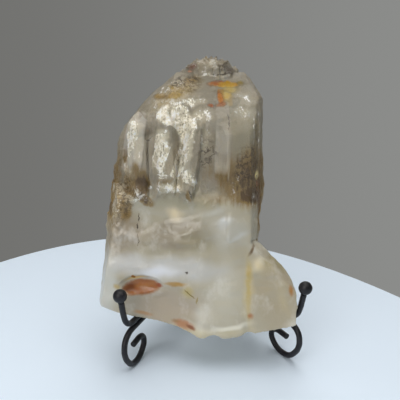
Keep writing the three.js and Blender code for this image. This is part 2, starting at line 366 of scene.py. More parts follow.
def roughen(piece):    # one Displace modifier for each relief, held to its zone by a vertex group
    groups = {name: piece.vertex_groups.new(name=name) for name in ("soften", *crystalBody["reliefs"])}
    for vertex in piece.data.vertices:
        for name, weight in reliefWeights(inCrystalFrame(vertex.co)).items():
            if weight > 0:
                groups[name].add([vertex.index], weight, "REPLACE")
    smoothing = piece.modifiers.new("soften", "SMOOTH")
    smoothing.factor = crystalBody["softeningFactor"]
    smoothing.iterations = crystalBody["softeningSteps"]
    smoothing.vertex_group = "soften"
    applyAll(piece)
    for name, (kind, settings, stretch, height) in crystalBody["reliefs"].items():
        texture = bpy.data.textures.new(name, kind)
        for setting, value in settings.items():
            setattr(texture, setting, value)
        texture.noise_scale = 1.0
        guide = bpy.data.objects.new(name + "Guide", None)
        bpy.context.scene.collection.objects.link(guide)
        guide.location = crystalOrigin
        guide.rotation_euler = (-crystalLean, 0, 0)
        guide.scale = [size * mm for size in stretch]
        modifier = piece.modifiers.new(name, "DISPLACE")
        modifier.texture = texture
        modifier.texture_coords = "OBJECT"
        modifier.texture_coords_object = guide
        modifier.vertex_group = name
        modifier.strength = height * mm
        modifier.mid_level = 0.5
        bpy.context.view_layer.update()
        applyAll(piece)
        bpy.data.objects.remove(guide)
    piece.vertex_groups.clear()


quartzLook = {
    # from the seen tone to the painted one, under the studio's light
    "gain": (1.2, 1.18, 1.19),
    "warmGain": (1.17, 1.04, 0.6),    # for the stains, the painted glint at the right edge and the dark threads
    "bodyTone": "a5a08e",
    "clearBodyTone": "aea690",
    "cloudTone": "d0d0ca",
    # the painted glow around the veils' glints
    "hazeTone": "cbc4ac",
    "smokeAndShadeTone": "86724a",
    "deepSmokeAndShadeTone": "48341c",
    "threadTone": "33261a",
    "sheen": [(0.38, "7e7866"), (0.45, "bab4a1"), (0.52, "dedac8"), (0.60, "fffaee")],
    "clearFrom": (90, 108),    # the heights in mm where the stone starts to clear and where it is clear
    "clearWander": 26,    # how far the clouds move that, in mm
    "smokeLevels": (0.05, 0.6),    # where the brown starts and is full
    "deepLevels": (0.7, 1.3),
    "deepCover": 0.8,
    "veilGlintLevels": (0.45, 1.1),
    "stripEdge": 0.12,    # the soft edge of a strip
    "markEdge": 0.6,    # of a pit, a fleck or a crack
    "threadEdge": 0.5,    # of the places where threads may run
    "threadSizes": (6, 3),    # coarse and fine meshes of the network, in mm
    "threadWidth": 0.04,
    "threadCover": 0.85,
    "index": 1.54,
    "glassRoughness": 0.1,
    "glassTint": (0.94, 0.92, 0.86, 1),
    "smokyTint": (0.46, 0.31, 0.15, 1),
    "absorption": (0.8, 0.66, 0.46, 1),
    "absorptionDensity": 7.0,
    "milkyRoughness": 0.28,
    "scatterDepth": 0.001,
    "scatterRadius": (1.0, 0.92, 0.8),
    "veilMetal": 0.35,
    # broad soft washes on the milky body: centre and reach in mm, turn, soft edge, colour, strength
    "washes": [
        ((-20, -20, 30), (30, 40, 16), 6, 0.7, "a69a87", 0.9),
        ((8, -20, 36), (18, 40, 26), 0, 0.8, "b4b1a2", 0.9),
        ((-20, -20, 49), (40, 50, 9), 4, 0.6, "b7b7b2", 1.0),
        ((-22, -26, 48), (13, 14, 5), 3, 0.9, "cdd0d3", 1.0),
        ((-14, -20, 65), (24, 50, 10), 0, 0.6, "8d8675", 1.0),
        ((-5, -20, 63), (14, 50, 7), 6, 0.8, "8f8870", 0.8),
        ((-40, -14, 66), (13, 50, 16), 8, 0.7, "918877", 1.0),
        ((-49, -10, 40), (9, 50, 24), 8, 0.7, "b8bab4", 0.9),
        ((11, -24, 67), (17, 30, 12), 20, 1.0, "adaca2", 1.0),
        ((4, -28, 76), (11, 12, 3), -24, 1.0, "b4b3a8", 0.9),
        ((9, -29, 71), (6, 12, 3), -24, 1.0, "bfc2c0", 0.9),
        ((16, -30, 64), (6, 12, 3), -30, 1.0, "b8b9b4", 0.8),
        # painted light: this one a soft glow below the hem, the next a highlight along the hem
        ((-14.2, -22.6, 75.6), (5.6, 9, 7.4), 8, 1.0, "cabfa4", 1.0),
        ((-17, -26.6, 88), (8, 6, 3), 0, 0.9, "c9bd9c", 0.7),
        ((26, -32, 50.6), (5, 6, 5), 40, 0.9, "dad2b8", 0.9),
        ((20.8, -31.5, 36), (4, 9, 24), 0, 1.0, "c6b88c", 0.65),
        ((40, -30, 40), (8, 9, 3), 40, 0.9, "aaa490", 0.7),
        ((31, -30, 30), (9, 9, 4), -30, 0.9, "b4ac98", 0.7),
        ((-3, -28, 19), (9, 10, 4), 0, 0.9, "c8c6b8", 0.8),
        ((-40, -20, 52), (10, 12, 6), 0, 0.9, "c2c2be", 0.8),
        ((34, -20, 34), (16, 50, 26), 0, 0.5, "a39b86", 1.0),
        ((34, -30, 50), (9, 14, 5), 42, 0.6, "958c6c", 0.9),
        ((-6, -24, 82), (30, 30, 6), 0, 0.8, "969078", 0.8),
        ((4, -10, 17), (40, 50, 4), 0, 0.9, "bdb596", 0.7),
        ((12, -30, 20), (14, 12, 2.4), -4, 0.8, "d6d4c6", 0.8),
        ((-2, -30, 26), (8, 12, 8), 20, 0.9, "c2c0b4", 0.7),
        ((42, -30, 22), (7, 12, 4), -10, 0.9, "c8c6ba", 0.8),
        ((38, -30, 33), (4, 12, 12), -18, 0.9, "b4aa88", 0.5),
    ],
    # faces of the clear columns, with straight edges: centre and reach, turn, soft edge, colour, strength
    "panes": [
        ((-25.9, -24, 109), (2.2, 14, 17), 7, 0.15, "c2baa6", 0.8),
        ((-14.8, -26, 103), (2.7, 9, 8.6), 21, 0.15, "c8bea4", 0.8),
        ((-33.2, -18, 111), (5.2, 16, 16), 8, 0.2, "e0dacb", 0.95),
        ((-20.6, -26, 106), (3.4, 8, 12), 7, 0.2, "cfc8b0", 0.9),
        ((-8, -24, 108), (3, 9, 17), 10, 0.3, "cfcab4", 0.8),
        ((19.5, -24, 114), (7.4, 10, 12), 2, 0.5, "b6b096", 0.9),
        ((20, -20, 126), (7.4, 10, 5), 2, 0.5, "b4b09c", 0.8),
        ((26.6, -20, 106), (2.2, 14, 16), 2, 0.4, "ad9d74", 0.8),
    ],
    "topPanes": [
        # these two are painted highlights along the edges of two columns
        ((24.4, -24, 115), (0.4, 9, 7), 4, 0.5, "e6e2d2", 0.8),
        ((12.2, -26, 108), (0.45, 9, 17), 3.6, 0.6, "c8c2b0", 0.4),
        ((13.2, -17, 131.8), (2.4, 9, 4.6), 4, 0.4, "c8b484", 0.85),
        ((10.2, -17, 131.6), (1.7, 9, 5), 2, 0.3, "c08c3a", 0.95),
        ((9.2, -26, 113), (3.3, 9, 19), 3.6, 0.3, "d4cfbf", 0.66),
        ((8.8, -26, 112), (3, 9, 8), 3.6, 0.6, "e2decf", 0.5),
        ((6.6, -22, 121), (5.6, 9, 5.6), 4, 0.5, "c2bca8", 0.6),
    ],
    # how brown the clear part is, with one painted shade below the hem: centre and reach, turn, soft edge,
    # strength
    "smokeAndShade": [
        ((21, -25, 93), (20, 24, 22), 0, 0.8, 1.0),
        ((18, -30, 90), (13, 14, 10), 0, 1.0, 1.1),
        ((29, -14, 88), (6, 30, 28), 0, 0.8, 0.85),
        ((-42.5, -16, 96), (4, 14, 6), 0, 0.9, 1.3),
        ((-38, -22, 76), (4, 9, 8), 14, 0.9, 0.9),
        ((28, -18, 68), (4, 12, 12), 0, 0.9, 1.0),
        ((22, -24, 84), (13, 14, 7), 0, 0.8, 2.2),
        ((21.5, -26, 94), (10.5, 24, 19), 2, 0.6, 0.5),
        ((9, -28, 83), (16, 10, 6), 0, 1.0, 0.4),
        ((5, -26, 95), (10, 8, 10), 0, 1.0, 0.35),
        ((-31, -24, 92), (6.5, 9, 12), 6, 0.9, 1.1),
        ((-33, -22, 99), (5, 9, 8), 6, 0.9, 0.75),
        ((-30.4, -24, 90.5), (6, 9, 8), 0, 0.9, 2.2),
        ((-36, -20, 92), (10, 14, 8), 0, 0.9, 0.55),
        ((-46, -10, 90), (9, 30, 30), 8, 0.8, 0.75),
        ((-42, -20, 80), (7, 12, 10), 14, 0.9, 0.75),
        ((-46, -10, 78), (4, 20, 8), 20, 0.8, 1.6),
        # a painted shade below the hem of the ribs
        ((-31, -22, 85.4), (11, 14, 4), 24, 0.8, 1.6),
        ((-20, -26, 92.5), (8, 8, 3.2), 0, 0.9, 0.5),
        ((-6.6, -26, 84.5), (1.8, 5, 5), -12, 0.8, 1.0),
        ((-40, -16, 106), (3.5, 9, 12), 8, 0.8, 0.75),
        ((-14.4, -22, 103), (3, 8, 9), 16, 0.9, 0.35),
        ((4, 10, 100), (40, 20, 16), 0, 0.8, 0.6),
    ],
    # painted reflections of light off the inner veils, silvery and mottled: centre and reach, turn, soft
    # edge, strength
    "veilGlints": [
        ((-34, -21, 112.4), (4.8, 14, 15.6), 9, 0.8, 0.92),
        ((-31, -22, 108), (3, 12, 14), 8, 0.8, 0.6),
        ((-20.6, -27, 105.4), (6.6, 9, 12.5), 7, 0.5, 1.2),
        ((-20, -27, 96), (5, 8, 5), 0, 0.8, 0.6),
        ((-14, -20, 122.8), (12, 16, 8.6), 25, 0.5, 1.15),
        ((-8, -25, 111), (5.4, 9, 20), 9, 0.6, 1.0),
        ((-12, -25, 100.4), (4.4, 9, 12), 14, 0.4, 1.35),
        ((-6.3, -27.5, 92), (4, 6, 9), -30, 0.7, 1.0),
        ((-14, -13, 133), (20, 18, 10), -30, 0.8, 0.66),
        ((-43.4, -19, 82), (5.4, 12, 17), 16, 0.9, 0.85),
        ((-38, -19, 98), (4, 10, 4), 10, 0.8, 0.85),
        ((-33, -22, 86), (12, 10, 7), 20, 0.9, 0.46),
        ((19.5, -20, 122), (9, 10, 10), 0, 0.9, 0.62),
        ((0, -24, 113), (6, 10, 12), 0, 0.9, 0.66),
        ((-1, -22, 122), (7, 10, 9), 30, 0.9, 0.72),
        ((-4, -17, 130), (9, 12, 5), -10, 0.9, 0.66),
        ((22, -16, 131), (8, 12, 9), -20, 0.9, 0.4),
        ((14.5, -30, 90), (5, 8, 12), 12, 0.9, 0.3),
        ((24.5, -28, 88), (2, 8, 18), 14, 0.8, 0.42),
        ((5, -8, 149), (12, 12, 6), 0, 0.9, 0.72),
        ((6, -11, 143.4), (18, 8, 2), 0, 0.8, 0.5),
        ((28, -16, 112), (3, 10, 30), 0, 0.8, 0.42),
        ((-16, -26, 88.6), (12, 8, 4), 0, 0.8, 0.8),
        ((0, 24, 112), (44, 16, 30), 0, 0.9, 0.4),
    ],
    # smooth clear strips that cut them with straight edges: centre and reach, turn
    "strips": [
        ((-25.7, -24, 109), (2, 14, 17), 7),
        ((-15.4, -26, 103), (2.1, 9, 8.6), 21),
        ((8.8, -26, 104), (3.3, 9, 19), 3.6),
    ],
    # dark hollows in them: centre and reach, turn
    "pits": [
        ((-17, -26, 112.2), (4.4, 8, 2.2), 0),
        ((-17.6, -27, 107), (1.5, 6, 1.6), 30), ((-23.4, -27, 103), (1, 6, 1.2), 0),
    ],
    # single painted glints and highlights, on the hem, the ruled steps and the edges: centre and reach, turn
    "glintFlecks": [
        ((-37.8, -18, 99), (2.1, 8, 2.4), 10), ((-14, -21, 123.6), (4, 14, 2.6), -40),
        ((-10, -18, 129.6), (5, 14, 1.2), -12), ((-11, -18, 129.4), (3.4, 14, 1.4), -24),
        ((-21.6, -27, 108.6), (1.6, 6, 2.6), 5), ((-19.8, -27, 102.6), (2.6, 6, 2), 0),
        ((-20.8, -27, 98.4), (3.4, 4, 0.4), 2), ((-20.4, -27, 94.9), (3.8, 4, 0.45), 3),
        ((-21, -27, 93.2), (3.4, 4, 0.35), 0), ((-20.2, -27, 96.6), (3.4, 4, 0.22), 3),
        ((-8.6, -23, 119), (0.9, 8, 6), 6), ((-5, -27.5, 91.4), (1.3, 5, 3.4), -30),
        ((-17.4, -26.8, 88.2), (3.2, 5, 2.4), 0), ((-21.4, -27, 89.5), (1.1, 4, 3), 6),
        ((-26, -22.5, 88.6), (1.5, 5, 1.2), 0), ((-13.4, -25.7, 87.6), (3.6, 5, 1.3), -14),
        ((-8.6, -24, 82), (0.8, 4, 1.4), -20), ((-44.4, -12, 88), (1.3, 9, 4), 14),
        ((-42.6, -22, 78), (1.8, 6, 1.4), 0), ((-43.6, -18, 75), (2.2, 6, 0.5), -40),
        ((27.2, -22, 93.5), (1.5, 6, 2.2), 0),
        ((24.2, -26, 117), (0.4, 5, 7), 4), ((32, -27, 51.4), (2.4, 3, 0.5), 44),
    ],
    # stains in and on the stone, and one painted glint at the right edge: centre and reach, turn, soft edge,
    # colour, strength
    "stainsAndGlint": [
        ((13.4, -11, 138.6), (10, 6, 2.4), 0, 0.5, "a88808", 1.0),
        ((7, -11, 139), (4.4, 6, 1.7), -4, 0.7, "9a5c08", 0.9),
        ((10, -11, 140.2), (4, 5, 0.7), 0, 0.6, "7a3c06", 0.8),
        ((20.8, -11, 139.1), (2.6, 6, 1.8), 0, 0.6, "7a6c00", 0.9),
        ((15, -13, 136), (7, 8, 3.4), 0, 0.9, "b6a658", 0.8),
        ((13, -17, 132.4), (4.6, 8, 6), 8, 0.9, "c0ac62", 0.85),
        ((9.6, -17.5, 131.6), (2.0, 8, 5.4), 0, 0.6, "a46c04", 1.0),
        ((9.6, -19.5, 128.2), (3.6, 6, 1.6), -12, 0.6, "8a5208", 0.9),
        ((4.6, -19.5, 127.8), (2.4, 5, 1.2), 8, 0.6, "965a38", 1.0),
        ((-13, -13.5, 132.9), (5.6, 8, 2.8), -6, 0.5, "8a7a00", 1.0),
        ((-19, -9, 133), (7, 9, 2.2), 4, 0.6, "8a7000", 0.9),
        ((-14, -12, 137.4), (2.8, 6, 1.1), 24, 0.6, "9a8610", 0.9),
        ((-2, -10, 141), (6, 6, 2.6), 0, 0.9, "8f7c3c", 0.7),
        ((-13, -14, 134), (18, 18, 7), -28, 0.9, "a8935a", 0.6),
        ((4, -6, 149.5), (16, 14, 7), 0, 0.5, "746a5c", 0.6),
        ((-4, -9, 140.8), (7, 6, 3), -30, 0.9, "8c7444", 0.85),
        ((-3, -7, 147.6), (3.2, 6, 2.4), -20, 0.6, "5e3a2e", 0.9),
        ((-4.5, -8, 145.2), (2.2, 5, 1.0), 0, 0.7, "a26a52", 0.8),
        ((16, -8, 146), (5, 7, 4), 24, 0.9, "3a2e26", 0.95),
        ((-31.2, -22, 39.4), (10.8, 8, 4.8), -4, 0.35, "94633f", 1.0),
        ((-30, -22, 40), (6, 8, 2.6), -4, 0.9, "a2714a", 0.7),
        ((-37, -21, 39.5), (4.4, 6, 3.4), 0, 0.8, "6b3e20", 0.85),
        ((-39.5, -22, 38.8), (3, 6, 2), 20, 0.7, "6e4424", 0.9),
        ((-22.8, -24, 40.4), (2.6, 6, 1.5), 0, 0.7, "8e4820", 0.9),
        ((-33.5, -22, 44.4), (8, 6, 1.1), -9, 0.7, "c4b391", 0.8),
        ((-43.6, -21, 40.6), (2.6, 6, 2.4), 0, 0.8, "a3925a", 0.8),
        ((-35.4, -22, 45), (1.4, 5, 1.2), 0, 0.5, "8f6420", 1.0),
        ((-15, -27, 41.3), (7.4, 6, 1.6), 3, 0.7, "a08240", 0.8),
        ((-9, -28, 37), (4.6, 6, 4.6), 0, 0.9, "b0a777", 0.6),
        ((-8, -28, 36.3), (4.4, 6, 0.5), 42, 0.6, "74692e", 0.9),
        ((-4.4, -28.5, 33), (0.5, 6, 2.4), 8, 0.6, "8c8150", 0.7),
        ((-11, -24, 19.8), (8, 8, 3.2), 14, 0.7, "a87a66", 0.85),
        ((-7.6, -25, 18.6), (3.4, 6, 1.5), 26, 0.6, "7e4d34", 0.9),
        ((-15, -24, 21.4), (3.4, 6, 1.6), 10, 0.8, "8c7254", 0.6),
        ((-31, -20, 25.6), (7, 8, 1.6), 18, 0.8, "b08358", 0.6),
        ((20.6, -31.5, 38), (1.8, 6, 22), 0, 1.0, "ac9c58", 0.5),
        ((21.4, -31.5, 25), (2.2, 5, 2.4), 0, 0.9, "9a6128", 0.8),
        ((21, -31.5, 47), (2.8, 6, 6), 0, 0.9, "a99b6c", 0.6),
        ((22.4, -29, 57.5), (1.3, 6, 4.5), 24, 0.7, "5c4526", 0.95),
        ((40.9, -33, 37.6), (1.7, 8, 4), 0, 0.7, "9c703c", 0.85),
        ((28.6, -20, 84), (2.2, 12, 16), 0, 0.7, "5c4020", 0.9),
        ((26.3, -22, 90), (1.0, 8, 6), 0, 0.7, "a06030", 0.6),
        ((-38, -20, 98), (1.6, 8, 3), 0, 0.7, "8c5a2c", 0.7),
        # a painted bright glint at the right edge
        ((27.2, -24, 93.6), (3, 12, 3.2), 10, 0.5, "f4e6d8", 1.0),
    ],
    # warm glazes over everything: centre and reach, turn, soft edge, colour, strength
    "glazes": [
        ((-43, -16, 81), (9, 20, 19), 14, 1.0, "9c875c", 0.55),
        ((-38, -18, 97), (6, 14, 6), 10, 1.0, "c0ae84", 0.4),
        ((-10, -12, 135), (18, 16, 6), -28, 1.0, "b49a58", 0.4),
        ((-16, -26, 89), (12, 8, 3.4), 0, 1.0, "c4b48c", 0.3),
        ((-16, -12, 132.8), (8, 10, 2), -4, 0.7, "7e5e04", 0.62),
        ((27, -31, 50), (9, 9, 6), 40, 1.0, "b0a070", 0.3),
        ((-32, -23, 87.5), (9, 10, 6), 20, 1.0, "9c8660", 0.45),
        ((-41, -20, 79), (4, 10, 5), 10, 1.0, "7c6848", 0.5),
    ],
    # dark threads: where they may run, centre and reach, turn
    "threads": [
        ((1.4, -25, 104), (7.5, 8, 10), 8),
        ((20, -28, 99), (10, 9, 13), 0),
        ((-8, -10, 138), (13, 14, 6), -25),
        ((11, -6, 149), (6, 12, 4), 0),
        ((27, -22, 100), (3, 10, 30), 0),
        ((-40, -18, 84), (9, 12, 18), 12),
    ],
    # single dark cracks and specks: centre and reach, turn
    "cracks": [
        ((-25.4, -22, 112.6), (2.5, 4, 0.32), -36),
        ((-31.8, -21, 74), (0.4, 5, 2.6), 4),
        ((-32.3, -22, 69.6), (0.5, 5, 2.4), 4),
        ((-32.6, -23, 63.6), (0.22, 5, 4), 3),
        ((-9.5, -27.6, 47), (0.9, 4, 0.8), -30),
        ((12.2, -27, 119), (0.3, 4, 12), -2),
        ((-27, -23, 104), (0.25, 4, 8), 6),
        ((13, -9, 143.9), (9, 5, 0.5), 0),
        ((-6.8, -26.5, 86), (0.7, 4, 3.4), -14),
        ((-29.5, -24, 86.4), (3, 4, 0.7), -42),
    ],
}


def quartzMaps(start):    # the stone's own coordinates in mm, the same moved about, and shared textures
    fromObject = start.node("ShaderNodeTexCoord", output="Object")
    place = start.node("ShaderNodeMapping", {"vector_type": "TEXTURE"},
                       {"Vector": fromObject, "Location": crystalOrigin,
                        "Rotation": (-crystalLean, 0, 0), "Scale": (mm, mm, mm)})
    at = SimpleNamespace(place=place)
    at.height = start.node("ShaderNodeSeparateXYZ", {}, {"Vector": place}, "Z")
    # how far the places are pushed about, and by lumps of what size
    at.loose = place.pushed(9, 14)
    at.torn = place.pushed(8, 5, 3)
    at.straight = place.pushed(1.0, 5)
    at.gentle = place.pushed(2.2, 3.5, 3)
    at.ragged = place.pushed(3.2, 4, 3).pushed(1.4, 1.3)
    # lump size, detail, roughness and stretch
    at.clouds = place.noise(9, 4, 0.6, (1, 1, 1.4))
    at.mottle = place.noise(1.7, 5, 0.75, (0.8, 0.8, 1.4))
    at.grain = place.noise(0.75, 2, 0.6, (1, 1, 1.2))
    at.grooves = place.noise(1.6, 3, 0.6, (1, 1, 24))
    at.clear = (at.height + at.clouds * quartzLook["clearWander"]).between(*quartzLook["clearFrom"])
    return at


def smokeAndShadeMasks(at):    # where the clear part is brown, and where it is nearly black, with the painted shade below the hem
    look = quartzLook
    smokeAndShade = largest(at.loose.patch(*where) * strength for *where, strength in look["smokeAndShade"])
    smokeAndShade = smokeAndShade * (1 + (at.grooves - 0.5) * 1.8 + (at.mottle - 0.5) * 1.4)
    deepSmokeAndShade = smokeAndShade.between(*look["deepLevels"], 0, look["deepCover"])
    return smokeAndShade.between(*look["smokeLevels"]), deepSmokeAndShade


def veilGlintMask(at):    # painted glints of the inner veils: torn silvery sheets, cut by clear strips, with hollows and painted bright flecks
    look = quartzLook
    at.haze = largest(at.torn.patch(*where) * strength for *where, strength in look["veilGlints"])
    for where in look["strips"]:
        at.haze = at.haze * at.straight.pane(*where, look["stripEdge"]).between(0, 1, 1, 0.15)
    hollow = largest(at.ragged.patch(*where, look["markEdge"]) for where in look["pits"])
    at.sheets = at.place.noise(4.5, 3, 0.6, (0.7, 1, 2.2))
    at.speckle = at.mottle * 0.45 + at.grain * 0.35 + at.place.noise(0.9, 2, 0.6, (0.7, 1, 4)) * 0.2
    veilGlint = at.haze * 1.4 + (at.sheets - 0.5) * 2.4 + (at.speckle - 0.5) * 3
    veilGlint = veilGlint.between(*look["veilGlintLevels"]) * at.haze.between(0.05, 0.3)
    veilGlint = veilGlint * (1 - hollow * 0.85)
    # small painted glints
    at.bright = largest(at.ragged.patch(*where, look["markEdge"]) for where in look["glintFlecks"])
    return veilGlint.larger(at.bright * at.speckle.between(0.46, 0.51, 0.25, 1))


def bodyColour(start, at, smokeAndShade, deepSmokeAndShade):    # the milky body with its washes, growth faces and smoke, and painted light: a glow and a highlight at the hem, a glow around the glints, highlights on two column edges and a shade below the hem
    look, gain = quartzLook, quartzLook["gain"]
    milk = start.blend(at.clear, tone(look["bodyTone"], gain), tone(look["clearBodyTone"], gain))
    milk = painted(milk, look["washes"], gain, at.loose.patch)
    milk = milk.mixed(tone(look["cloudTone"], gain), at.clouds.between(0.5, 0.75, 0, 0.45))
    milk = painted(milk, look["panes"], gain, at.straight.pane)
    # a painted glow around the veils' glints, where the stone is clear
    milk = milk.mixed(tone(look["hazeTone"], gain), (at.haze * at.clear).between(0, 0.8, 0, 0.7))
    milk = milk.mixed(tone(look["smokeAndShadeTone"], gain), smokeAndShade)
    milk = milk.mixed(tone(look["deepSmokeAndShadeTone"], gain), deepSmokeAndShade)
    return painted(milk, look["topPanes"], gain, at.straight.pane)


def layStainsAndGlint(at, milk):    # lays the stains and one painted glint over the body, and says where they are
    stainGlintMask = None
    for *where, colour, strength in quartzLook["stainsAndGlint"]:
        here = at.gentle.patch(*where) * strength
        milk = milk.mixed(tone(colour, quartzLook["warmGain"]), here)
        stainGlintMask = stainGlintMask.larger(here) if stainGlintMask else here
    return milk, stainGlintMask


def darkMask(at):    # a network of dark threads, and single cracks
    look = quartzLook
    dark = largest(at.loose.patch(*where, look["threadEdge"]) for where in look["threads"])
    dark = dark * look["threadCover"]
    coarse, fine = [at.ragged.lines(size, look["threadWidth"]) for size in look["threadSizes"]]
    dark = dark * coarse.larger(fine * 0.8) * at.mottle.between(0.3, 0.5)
    for where in look["cracks"]:
        dark = dark.larger(at.ragged.patch(*where, look["markEdge"]) * 0.9)
    return dark


def makeQuartz():
    look, gain = quartzLook, quartzLook["gain"]
    material, start = newMaterial("smokyQuartz")
    at = quartzMaps(start)
    smokeAndShade, deepSmokeAndShade = smokeAndShadeMasks(at)
    veilGlint = veilGlintMask(at)
    milk, stainGlintMask = layStainsAndGlint(at, bodyColour(start, at, smokeAndShade, deepSmokeAndShade))
    dark = darkMask(at)
    milk = milk.mixed(tone(look["threadTone"], look["warmGain"]), dark)

    # the painted veil glints lie over the body, but not over the stains, the painted edge glint and the
    # cracks
    veilGlint = veilGlint * (1 - dark) * (1 - stainGlintMask * 0.85)
    sheen = start.node("ShaderNodeValToRGB",
                       {"stops": [(value, tone(colour, gain)) for value, colour in look["sheen"]]},
                       {0: at.speckle + at.bright * 0.06 + (at.sheets - 0.5) * 0.4})
    milk = painted(milk.mixed(sheen, veilGlint), look["glazes"], gain, at.loose.patch)

    bump = start.node("ShaderNodeBump", {}, {
        "Strength": 1.0, "Distance": 0.001,
        "Height": at.clouds * 0.7 + at.clear * (at.mottle * 0.9 + at.grooves * 0.2 + at.grain * 0.5)})
    glassTint = start.blend(smokeAndShade.larger(dark), look["glassTint"], look["smokyTint"])
    glass = start.node("ShaderNodeBsdfPrincipled", {}, {
        "Base Color": glassTint, "Roughness": look["glassRoughness"], "Transmission Weight": 1.0,
        "IOR": look["index"], "Normal": bump})
    milky = start.node("ShaderNodeBsdfPrincipled", {}, {
        "Base Color": milk, "Roughness": look["milkyRoughness"], "Metallic": veilGlint * look["veilMetal"],
        "IOR": look["index"], "Normal": bump, "Subsurface Weight": 1.0,
        "Subsurface Scale": look["scatterDepth"], "Subsurface Radius": look["scatterRadius"]})
    solid = 1 - at.clear * (0.58 - at.haze * 0.4 - smokeAndShade * 0.25)    # how much of it is milky, not clear
    solid = solid.larger(stainGlintMask * 0.9).larger(dark * 0.8).larger(veilGlint)
    shader = start.node("ShaderNodeMixShader", {}, {0: solid, 1: glass, 2: milky})
    volume = start.node("ShaderNodeVolumeAbsorption", {}, {"Color": look["absorption"],
                                                           "Density": look["absorptionDensity"]})
    toOutput(shader, volume)
    print(material.name + ":", len(material.node_tree.nodes), "nodes")
    return material


crystal = makeCrystal()
paint(crystal, makeQuartz())

stand = {    # in mm and degrees
    "rodRadius": 1.5,
    "ballRadius": 3.4,
    "splay": 25.4,
    "ballPlace": (9.7, 42.2),    # ahead of the front foot and above the rod's lowest point
    "legHeight": 19.8,
    "shelfHeight": 23.1,
    "uprightTop": 74,
    "rearFootReach": 66,
    "backReach": 23.8,    # from the crystal's axis to the middle of an upright
    "bendSteps": 8,    # from one point of a path to the next
    "sectionSteps": 6,    # in a quarter of a rod's section
    "endChamfer": 0.35,
    "mergeDistance": 0.000001,    # in metres
    "ballSegments": 32,
    "ballRings": 20,
    "collarAngle": 26,    # degrees around the post, as seen from the ball's middle
    "collarInset": 0.15,
    "collarRise": 0.35,
    "collarEdge": 0.08,
    "barSegments": 32,
    "beadLength": 2.2,
    "beadGrowth": 1.25,
    "beadEdge": 0.2,
    "smoothAngle": 40,
}


def sidePlace(side, name):    # where a side's front foot stands, turned outwards by the splay
    ahead, up = stand["ballPlace"]
    turn = Matrix.Rotation(math.radians(side * stand["splay"]), 4, "Z")
    foot = middle(name + "_ball_tip") - turn.to_3x3() @ Vector((0, -ahead * mm, up * mm))
    return Matrix.Translation(foot) @ turn


def uprightReach(foot, height):    # how far back an upright runs, so that it follows the crystal's back
    rise = height * mm + foot.z
    back = (stand["backReach"] * mm + rise * math.sin(crystalLean)) / math.cos(crystalLean)
    return (crystalOrigin.y + back - foot.y) / math.cos(math.radians(stand["splay"])) / mm


def legPath():    # ahead of the front foot and above it, in mm: rear foot, run, scroll
    rear, top = -stand["rearFootReach"], stand["legHeight"]
    return [
        (rear - 8, 0), (rear - 5, 0), (rear - 2, 0), (rear + 2.5, 2.5), (rear + 5, 9),
        (rear + 7.5, 15.5), (rear + 11, 18.8), (rear + 16, top), (rear + 19, top), (-30, top),
        (-9, top), (-6, top), (-3, top), (2, 19.1), (5.9, 16.6), (7.3, 12.6), (6.6, 8.4),
        (3.8, 4.2), (-0.2, 1), (-4.6, 0), (-9.2, 0.6), (-13, 2.9), (-15, 6.2), (-13.6, 9.6),
        (-10, 11), (-6.4, 10.9), (-2.4, 10.6),
    ]


def supportPath(foot):    # the post under the ball, the shelf and the upright behind
    shelf = stand["shelfHeight"]
    heel = -uprightReach(foot, shelf)
    heights = (shelf + 8, shelf + 14, shelf + 30, stand["uprightTop"])
    return [
        (8.8, 38.6), (7.9, 35), (6.6, 30.4), (4.4, 26.2), (0.8, 23.8), (-4, shelf), (-8, shelf),
        (-28, shelf), (heel + 10, shelf), (heel + 6, shelf), (heel + 1.4, shelf + 2),
    ] + [(-uprightReach(foot, height), height) for height in heights]


def roundRod(name, path, place):    # a smooth round rod along a path, its cut ends chamfered
    deselectAll()
    bpy.ops.curve.primitive_bezier_curve_add(location=(0, 0, 0))
    rod = bpy.context.object
    rod.name = name
    points = rod.data.splines[0].bezier_points
    points.add(len(path) - len(points))
    for point, (ahead, up) in zip(points, path):
        point.handle_left_type = point.handle_right_type = "AUTO"
        point.co = (0, -ahead * mm, up * mm)
    rod.data.resolution_u = stand["bendSteps"]
    rod.data.bevel_depth = stand["rodRadius"] * mm
    rod.data.bevel_resolution = stand["sectionSteps"]
    rod.data.use_fill_caps = True
    rod.matrix_world = place
    pick(rod)
    bpy.ops.object.convert(target="MESH")
    bpy.ops.object.transform_apply(location=True, rotation=True, scale=True)
    bpy.ops.object.mode_set(mode="EDIT")
    bpy.ops.mesh.select_all(action="SELECT")
    bpy.ops.mesh.remove_doubles(threshold=stand["mergeDistance"])
    bpy.ops.mesh.normals_make_consistent(inside=False)
    selectFaces(rod, lambda face: len(face.vertices) > 4)    # the two end caps
    bpy.ops.mesh.bevel(offset=stand["endChamfer"] * mm, segments=2, affect="EDGES")
    bpy.ops.mesh.select_all(action="SELECT")
    bpy.ops.mesh.bisect(plane_co=(0, 0, 0), plane_no=(0, 0, -1), use_fill=True, clear_outer=True,
                        threshold=stand["mergeDistance"])    # cuts the feet flat where they stand
    bpy.ops.object.mode_set(mode="OBJECT")
    return rod


